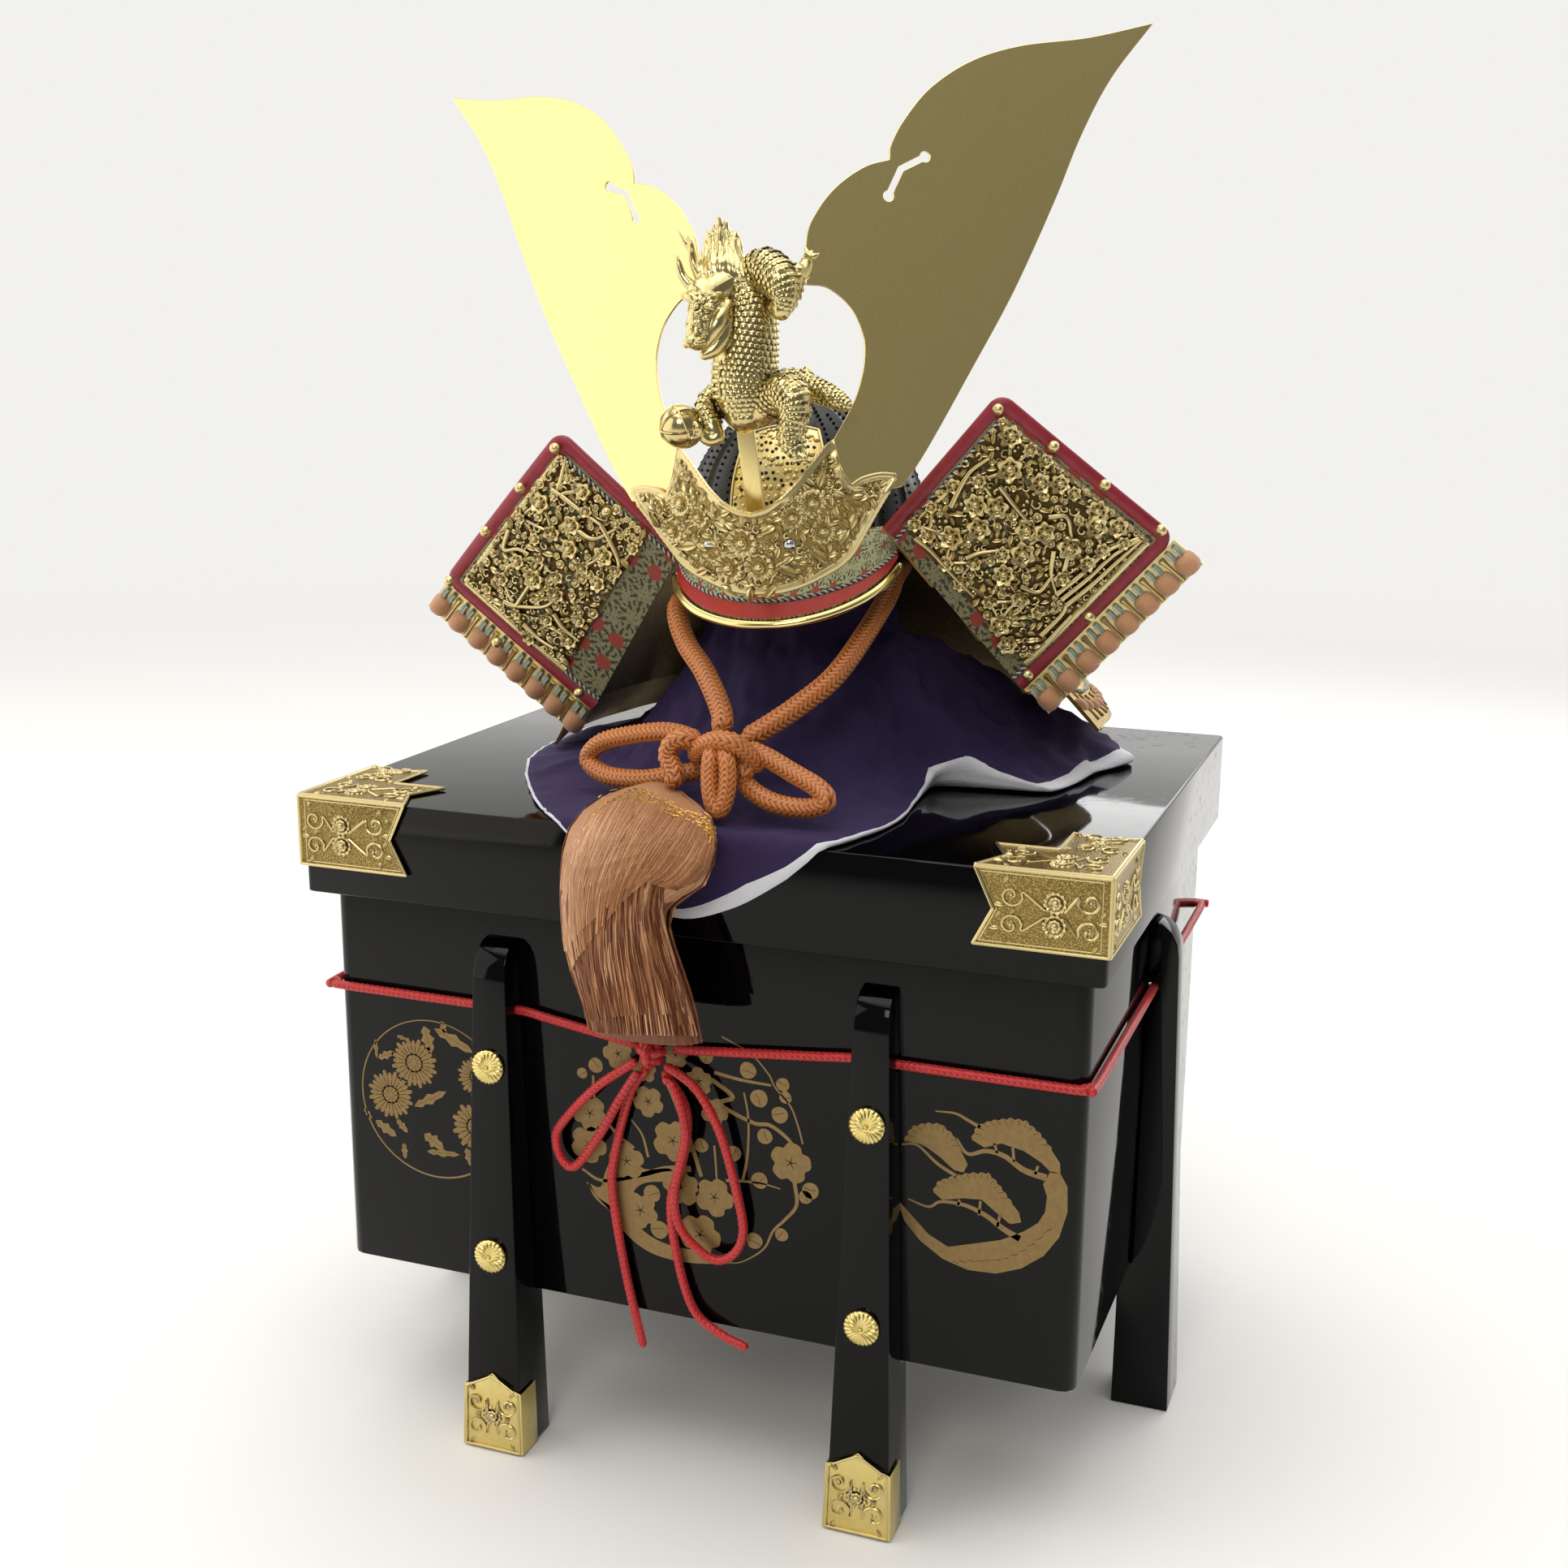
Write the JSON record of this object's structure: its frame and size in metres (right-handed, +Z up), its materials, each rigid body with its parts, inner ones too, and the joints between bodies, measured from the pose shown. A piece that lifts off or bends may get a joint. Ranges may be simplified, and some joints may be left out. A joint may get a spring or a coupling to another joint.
{
  "type": "display kabuto (samurai helmet) on its lacquered armour chest",
  "caption": "Display samurai helmet with golden horns, dragon crest, turned-back side panels and laced neck guard, tied over a cloth on a black lacquered chest with legs.",
  "frame": {"origin": "on the floor under the middle of the chest", "axes": "+Z up, the helmet and the chest face -Y, +X is to the right as seen from the front"},
  "size_m": [0.3542, 0.3117, 0.5744],
  "materials": {
    "black_lacquer": "gloss black lacquer on board",
    "cast_gilt": "cast relief, gilt and darkened",
    "gilt_brass": "polished gilt plate",
    "red_cord": "twisted cord",
    "plain_wood": "plain turned wood",
    "purple_cloth": "dark cloth, white lining",
    "black_iron": "black lacquered iron",
    "printed_leather": "printed leather",
    "panel_cloth": "brocade over board",
    "crimson_leather": "dyed leather binding",
    "laced_scales": "scales with silk lacing",
    "orange_silk": "silk lacing",
    "orange_cord": "braided silk cord",
    "copper_silk": "silk fringe"
  },
  "bodies": {
    "root": {"chest_body": "black_lacquer", "chest_lid": "black_lacquer", "leg_front_left": "black_lacquer", "leg_front_right": "black_lacquer", "leg_back_left": "black_lacquer", "leg_back_right": "black_lacquer", "leg_side_left": "black_lacquer", "leg_side_right": "black_lacquer", "foot_cap_left": "cast_gilt", "stud_upper_left": "gilt_brass", "stud_lower_left": "gilt_brass", "foot_cap_right": "cast_gilt", "stud_upper_right": "gilt_brass", "stud_lower_right": "gilt_brass", "corner_fitting_left": "cast_gilt", "corner_fitting_right": "cast_gilt", "belt_cord": "red_cord", "belt_knot": "red_cord", "belt_bow_left": "red_cord", "belt_bow_right": "red_cord", "belt_tail_left": "red_cord", "belt_tail_right": "red_cord", "stand_post": "plain_wood", "cover_cloth": "purple_cloth", "bowl": "black_iron", "bowl_front_plate": "cast_gilt", "visor": "printed_leather", "visor_rim": "gilt_brass", "horn_left": "gilt_brass", "horn_right": "gilt_brass", "horn_socket": "cast_gilt", "crest_post": "gilt_brass", "dragon_crest": "gilt_brass", "turnback_left": "panel_cloth", "turnback_edging_left": "crimson_leather", "turnback_plate_left": "cast_gilt", "scale_strip_left": "laced_scales", "silk_puffs_left": "orange_silk", "turnback_right": "panel_cloth", "turnback_edging_right": "crimson_leather", "turnback_plate_right": "cast_gilt", "scale_strip_right": "laced_scales", "silk_puffs_right": "orange_silk", "neck_lame_1": "laced_scales", "neck_lame_2": "laced_scales", "neck_lame_3": "laced_scales", "neck_lame_4": "laced_scales", "chin_cord": "orange_cord", "chin_knot": "orange_cord", "chin_bow_left": "orange_cord", "chin_bow_right": "orange_cord", "tassel": "copper_silk"}
  },
  "joints": []
}
